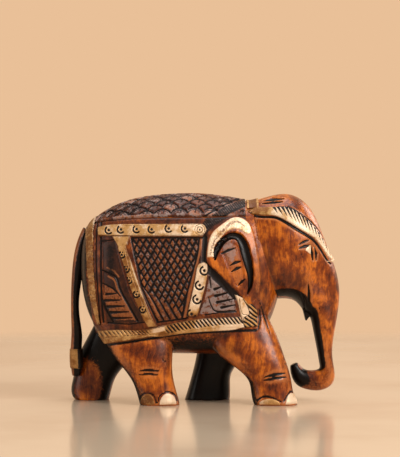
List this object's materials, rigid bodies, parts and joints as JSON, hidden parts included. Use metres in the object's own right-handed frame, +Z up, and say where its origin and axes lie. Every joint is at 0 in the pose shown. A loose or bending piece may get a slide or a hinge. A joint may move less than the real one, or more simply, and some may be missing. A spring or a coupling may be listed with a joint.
{
  "type": "elephant figurine",
  "caption": "Walking elephant carved from wood, with a saddle cloth in relief, gilded straps, hem, ear rims, headband and toenails, a curled trunk, and a tail clear of the rump.",
  "frame": {"origin": "on the table, under the middle of the figure's bounding box", "axes": "+X along the body towards the trunk, +Y to the elephant's left, +Z up"},
  "size_m": [0.13, 0.0522, 0.1003],
  "materials": {
    "wood": "satin varnish over reddish-brown stain",
    "stained_wood": "carved, with black stain left in the cuts",
    "gilding": "worn gold paint with a dark wash on raised wood"
  },
  "bodies": {
    "root": {"back_cover": "stained_wood", "ear_left": "wood", "ear_right": "wood", "ear_rim_left": "gilding", "ear_rim_right": "gilding", "eye_left": "gilding", "eye_right": "gilding", "foreleg_left": "wood", "foreleg_right": "wood", "front_strap_left": "gilding", "front_strap_right": "gilding", "head": "wood", "headband": "gilding", "hem_band_left": "gilding", "hem_band_right": "gilding", "hem_corner_left": "gilding", "hem_corner_right": "gilding", "hindleg_left": "wood", "hindleg_right": "wood", "lower_lip": "wood", "neck_band": "gilding", "rear_border": "gilding", "rear_strap_left": "gilding", "rear_strap_right": "gilding", "side_cloth_left": "stained_wood", "side_cloth_right": "stained_wood", "studs_left": "gilding", "studs_right": "gilding", "tail": "wood", "tail_band": "gilding", "toenails_foreleg_left": "gilding", "toenails_foreleg_right": "gilding", "toenails_hindleg_left": "gilding", "toenails_hindleg_right": "gilding", "top_band_left": "gilding", "top_band_right": "gilding", "torso": "wood", "trunk": "wood"}
  },
  "joints": []
}
